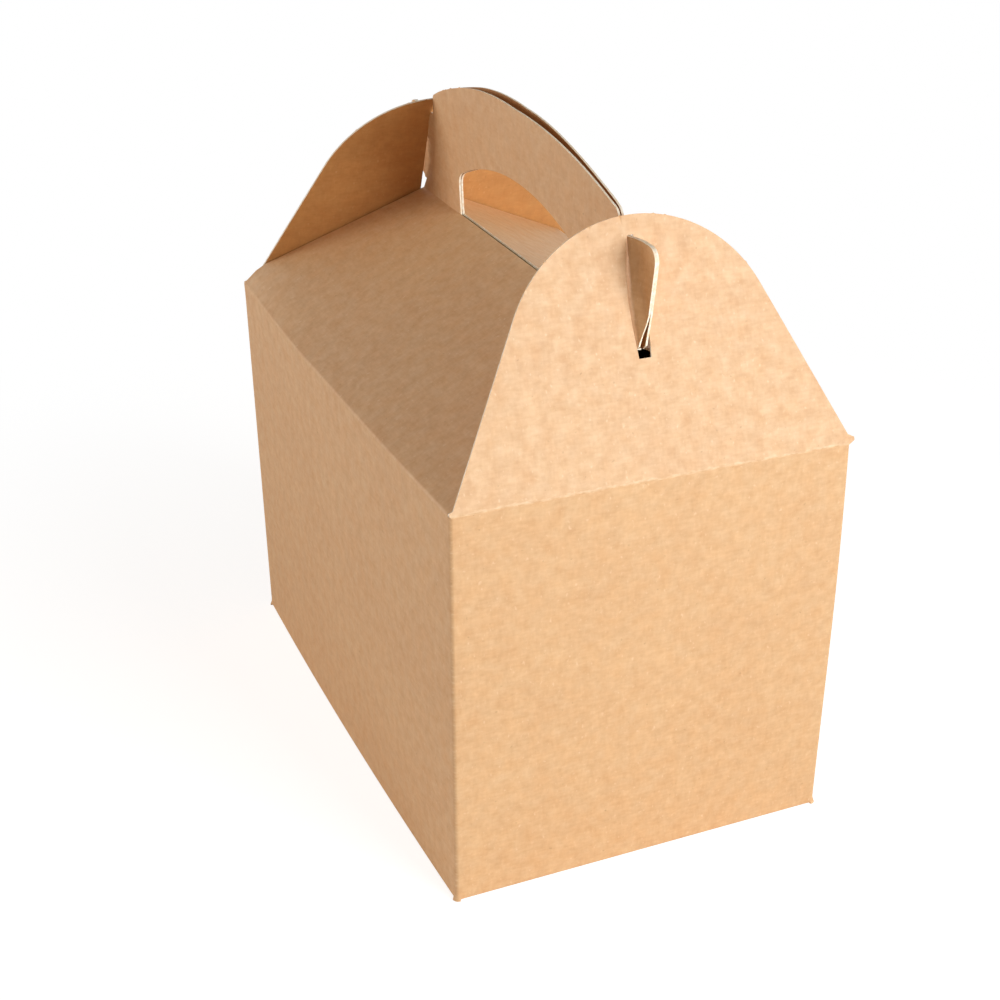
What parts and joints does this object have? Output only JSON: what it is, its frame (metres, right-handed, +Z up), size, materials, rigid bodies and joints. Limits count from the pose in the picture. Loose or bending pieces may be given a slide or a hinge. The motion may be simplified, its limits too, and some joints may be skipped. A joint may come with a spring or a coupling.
{
  "type": "gable carry box",
  "caption": "Gable-top carry box folded from plain kraft card, with a twin-panel handle whose ears lock through slots in hinged end flaps.",
  "frame": {"origin": "centre of the underside of the base, on the surface that the box stands on", "axes": "+Z up, X across the end panels, Y along the side panels and the ridge, with the front end flap at -Y"},
  "size_m": [0.1, 0.157, 0.166],
  "materials": {
    "kraft_board": "uncoated kraft, matt with a slight calendered sheen"
  },
  "bodies": {
    "carton": {"carton": "kraft_board"},
    "front_end_flap": {"front_end_flap": "kraft_board"},
    "rear_end_flap": {"rear_end_flap": "kraft_board"}
  },
  "joints": [
    {"name": "front_flap_fold", "type": "hinge", "parent": "carton", "child": "front_end_flap", "pos_m": [0, -0.07825, 0.10275], "axis": [1, 0, 0], "range_deg": [0, 120]},
    {"name": "rear_flap_fold", "type": "hinge", "parent": "carton", "child": "rear_end_flap", "pos_m": [0, 0.07825, 0.10275], "axis": [-1, 0, 0], "range_deg": [0, 120]}
  ]
}
